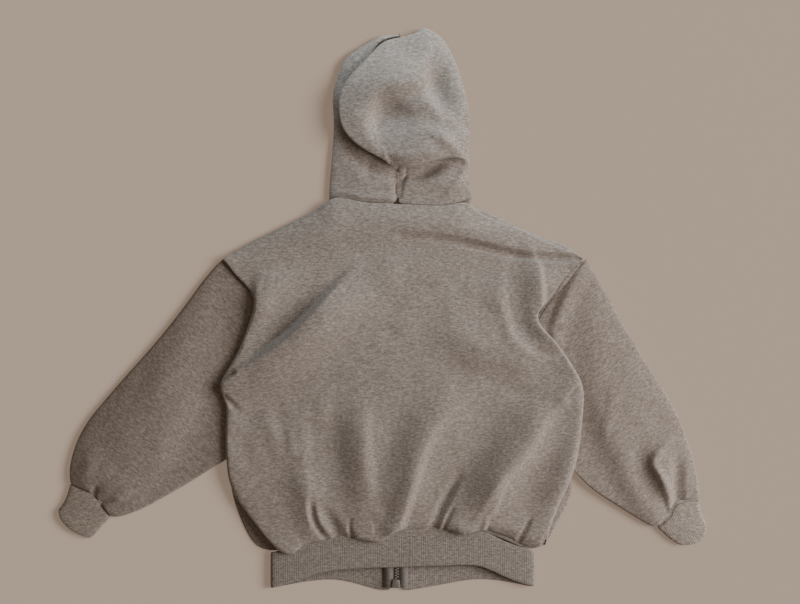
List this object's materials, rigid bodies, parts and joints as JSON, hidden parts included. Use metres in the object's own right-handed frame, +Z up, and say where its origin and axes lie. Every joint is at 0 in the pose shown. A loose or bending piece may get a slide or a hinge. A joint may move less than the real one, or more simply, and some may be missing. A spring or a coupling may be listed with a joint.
{
  "type": "toddler hoodie",
  "caption": "Toddler's zipped fleece hoodie laid out flat on its front, with a two-panel hood, dropped sleeves, rib cuffs and a rib hem band.",
  "frame": {"origin": "on the floor under the middle of the laid-out garment's outline", "axes": "+Y from the hem towards the hood, +X towards the sleeve on the right seen from above, +Z up from the floor, with the back panel facing up"},
  "size_m": [0.7135, 0.6202, 0.0238],
  "materials": {
    "fleece": "heathered warm grey sweatshirt fleece, brushed and matt",
    "rib": "heathered warm grey rib knit, matt",
    "zip_tape": "woven polyester tape, matt",
    "zip_teeth": "moulded plastic teeth",
    "zip_metal": "enamelled die-cast slider, satin"
  },
  "bodies": {
    "garment": {"back_panel": "fleece", "front_left": "fleece", "front_right": "fleece", "sleeve_left": "fleece", "sleeve_right": "fleece", "cuff_left": "rib", "cuff_right": "rib", "hem_band": "rib", "hood_left": "fleece", "hood_right": "fleece", "zip_tape_left": "zip_tape", "zip_tape_right": "zip_tape", "zip_chain": "zip_teeth", "zip_slider_low": "zip_metal", "zip_slider_high": "zip_metal"},
    "tab_low": {"zip_tab_low": "zip_metal"},
    "tab_high": {"zip_tab_high": "zip_metal"}
  },
  "joints": [
    {"name": "tab_low_hinge", "type": "hinge", "parent": "garment", "child": "tab_low", "pos_m": [0.016, -0.30225, 0.002], "axis": [-1, 0, 0], "range_deg": [0, 170]},
    {"name": "tab_high_hinge", "type": "hinge", "parent": "garment", "child": "tab_high", "pos_m": [0.016, 0.06125, 0.002], "axis": [1, 0, 0], "range_deg": [0, 170]}
  ]
}
